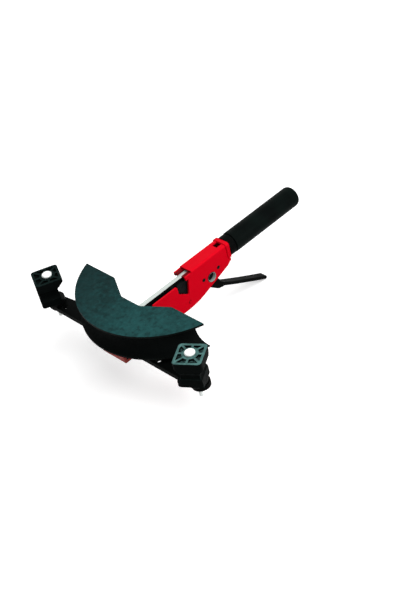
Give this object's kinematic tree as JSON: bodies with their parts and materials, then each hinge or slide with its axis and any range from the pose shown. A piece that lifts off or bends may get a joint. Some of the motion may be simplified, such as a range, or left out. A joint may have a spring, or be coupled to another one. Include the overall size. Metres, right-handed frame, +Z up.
{
  "type": "tube bender",
  "caption": "Hand-squeezed ratchet tube bender: half-moon grooved former on a toothed bar, grooved slide blocks on a cross beam, red folded body, black grip and lever.",
  "frame": {"origin": "bottom centre of the bounding box, under the middle of the tool, at the height of the hand lever tip", "axes": "+Y from the slide blocks towards the grip, +X across the tool towards the right slide block, +Z up, with the bending plane level"},
  "size_m": [0.2952, 0.324, 0.1064],
  "materials": {
    "red_paint": "bright red gloss paint on folded steel sheet",
    "dull_red": "worn red paint on a bent steel strap",
    "black_paint": "black paint, slightly glossy",
    "grey_cast": "dark green-grey coated casting, fine texture",
    "bright_steel": "bright turned or ground steel",
    "black_steel": "blackened steel",
    "grip_rubber": "black grip sleeve, soft sheen"
  },
  "bodies": {
    "frame": {"body_shell": "red_paint", "nose_bracket": "dull_red", "nose_spacer": "black_steel", "yoke_beam": "black_paint", "lever_pivot_sleeve": "bright_steel", "lever_stop_pin": "black_steel", "holding_pawl_pin": "black_steel", "spring_anchor_pin": "black_steel", "handle_tube": "black_paint", "grip_sleeve": "grip_rubber", "rear_bush": "black_steel", "rack_wear_strip": "black_steel", "rack_front_guide": "black_steel", "lever_return_spring": "bright_steel", "holding_pawl_spring": "bright_steel", "beam_screw_left": "black_steel", "beam_nut_left": "black_steel", "slide_pin_left": "bright_steel", "slide_collar_left": "black_steel", "retaining_ring_left": "black_steel", "beam_screw_right": "black_steel", "beam_nut_right": "black_steel", "slide_pin_right": "bright_steel", "slide_collar_right": "black_steel", "retaining_ring_right": "black_steel"},
    "rack": {"rack_bar": "bright_steel", "rack_head": "black_steel", "former_peg": "bright_steel", "former": "grey_cast"},
    "lever": {"hand_lever": "black_paint", "drive_pawl_pin": "bright_steel", "drive_pawl_spring": "bright_steel"},
    "drive_pawl": {"drive_pawl": "black_steel"},
    "holding_pawl": {"holding_pawl": "black_steel"},
    "slide_left": {"slide_block_left": "grey_cast"},
    "slide_right": {"slide_block_right": "grey_cast"}
  },
  "joints": [
    {"name": "rack_slide", "type": "slide", "parent": "frame", "child": "rack", "axis": [0, -1, 0], "range_m": [-0.048, 0.028]},
    {"name": "lever_pivot", "type": "hinge", "parent": "frame", "child": "lever", "pos_m": [-0.00024, 0.0032, 0.06369], "axis": [1, 0, 0], "range_deg": [0, 25], "stiffness_Nm_per_rad": 3, "springref_deg": -34.38, "deforming": ["lever_return_spring"]},
    {"name": "drive_pawl_pivot", "type": "hinge", "parent": "lever", "child": "drive_pawl", "pos_m": [-0.00024, 0.00526, 0.07297], "axis": [1, 0, 0], "range_deg": [0, 15], "stiffness_Nm_per_rad": 0.02, "springref_deg": -22.92, "deforming": ["drive_pawl_spring"]},
    {"name": "holding_pawl_pivot", "type": "hinge", "parent": "frame", "child": "holding_pawl", "pos_m": [-0.00024, -0.0093, 0.06739], "axis": [1, 0, 0], "range_deg": [0, 12], "stiffness_Nm_per_rad": 0.04, "springref_deg": -28.65, "deforming": ["holding_pawl_spring"]},
    {"name": "slide_left_turn", "type": "hinge", "parent": "frame", "child": "slide_left", "pos_m": [-0.12624, -0.133, 0.10219], "axis": [0, 0, 1], "continuous": true},
    {"name": "slide_right_turn", "type": "hinge", "parent": "frame", "child": "slide_right", "pos_m": [0.12576, -0.133, 0.10219], "axis": [0, 0, 1], "continuous": true}
  ]
}
